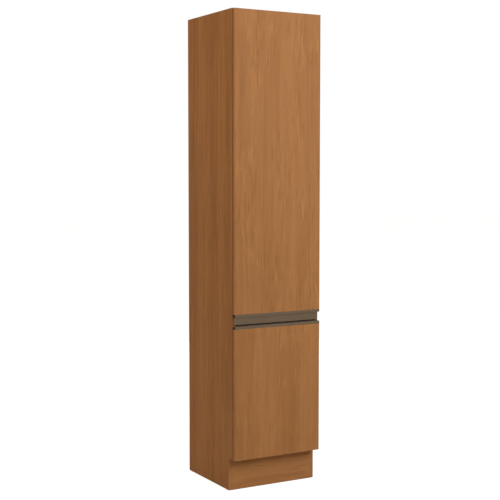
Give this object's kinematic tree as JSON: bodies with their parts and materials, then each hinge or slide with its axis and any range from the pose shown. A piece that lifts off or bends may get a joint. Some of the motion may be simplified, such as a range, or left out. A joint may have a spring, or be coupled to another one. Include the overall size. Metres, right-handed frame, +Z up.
{
  "type": "tall kitchen cabinet",
  "caption": "Tall narrow kitchen cabinet with a tall door over a short one, a recessed finger pull between them, shelves inside and a set-back toe kick.",
  "frame": {"origin": "on the floor, at the middle of the width and of the depth with the doors", "axes": "+Z up, -Y out of the door fronts, +X to the right of someone who faces the doors"},
  "size_m": [0.45, 0.456, 2.16],
  "materials": {
    "woodgrain_board": "matt woodgrain melamine",
    "woodgrain_edge_band": "matt woodgrain edge band",
    "light_board": "matt light melamine",
    "light_edge_band": "matt",
    "hardboard": "painted hardboard",
    "bare_wood": "raw",
    "bronze_aluminium": "satin anodised",
    "dark_plastic": "matt",
    "clear_buffer": "soft",
    "nickel_steel": "nickel plated",
    "zinc_steel": "zinc plated",
    "brass_plated_steel": "yellow passivated"
  },
  "bodies": {
    "carcass": {"side_panel_left": "woodgrain_board", "side_panel_right": "woodgrain_board", "toe_kick_board": "woodgrain_board", "side_edge_bands": "woodgrain_edge_band", "panel_edge_bands": "woodgrain_edge_band", "bottom_panel": "light_board", "top_panel": "light_board", "middle_shelf": "light_board", "upper_loose_shelves": "light_board", "lower_loose_shelf": "light_board", "shelf_edge_bands": "light_edge_band", "upper_back_panel": "hardboard", "lower_back_panel": "hardboard", "top_rear_rail": "bare_wood", "middle_rear_rail": "bare_wood", "wood_dowels": "bare_wood", "foot_glides": "dark_plastic", "hinge_mounting_plates": "nickel_steel", "hinge_arms": "nickel_steel", "shelf_pins": "nickel_steel", "toe_kick_brackets": "nickel_steel", "hinge_plate_screws": "zinc_steel", "hinge_arm_screws": "zinc_steel", "toe_kick_screws": "zinc_steel", "cam_discs": "zinc_steel", "cam_bolts": "brass_plated_steel"},
    "upper_door": {"upper_door_panel": "woodgrain_board", "upper_door_edge_bands": "woodgrain_edge_band", "upper_pull_profile": "bronze_aluminium", "upper_pull_end_caps": "dark_plastic", "upper_hinge_cups": "nickel_steel", "upper_cup_screws": "zinc_steel", "upper_cup_pins": "nickel_steel", "upper_door_buffers": "clear_buffer"},
    "lower_door": {"lower_door_panel": "woodgrain_board", "lower_door_edge_bands": "woodgrain_edge_band", "lower_pull_profile": "bronze_aluminium", "lower_pull_end_caps": "dark_plastic", "lower_hinge_cups": "nickel_steel", "lower_cup_screws": "zinc_steel", "lower_cup_pins": "nickel_steel", "lower_door_buffers": "clear_buffer"}
  },
  "joints": [
    {"name": "upper_door_hinge", "type": "hinge", "parent": "carcass", "child": "upper_door", "pos_m": [0.217, -0.2218, 1.45], "axis": [0, 0, 1], "range_deg": [0, 100]},
    {"name": "lower_door_hinge", "type": "hinge", "parent": "carcass", "child": "lower_door", "pos_m": [0.217, -0.2218, 0.445], "axis": [0, 0, 1], "range_deg": [0, 100]}
  ]
}
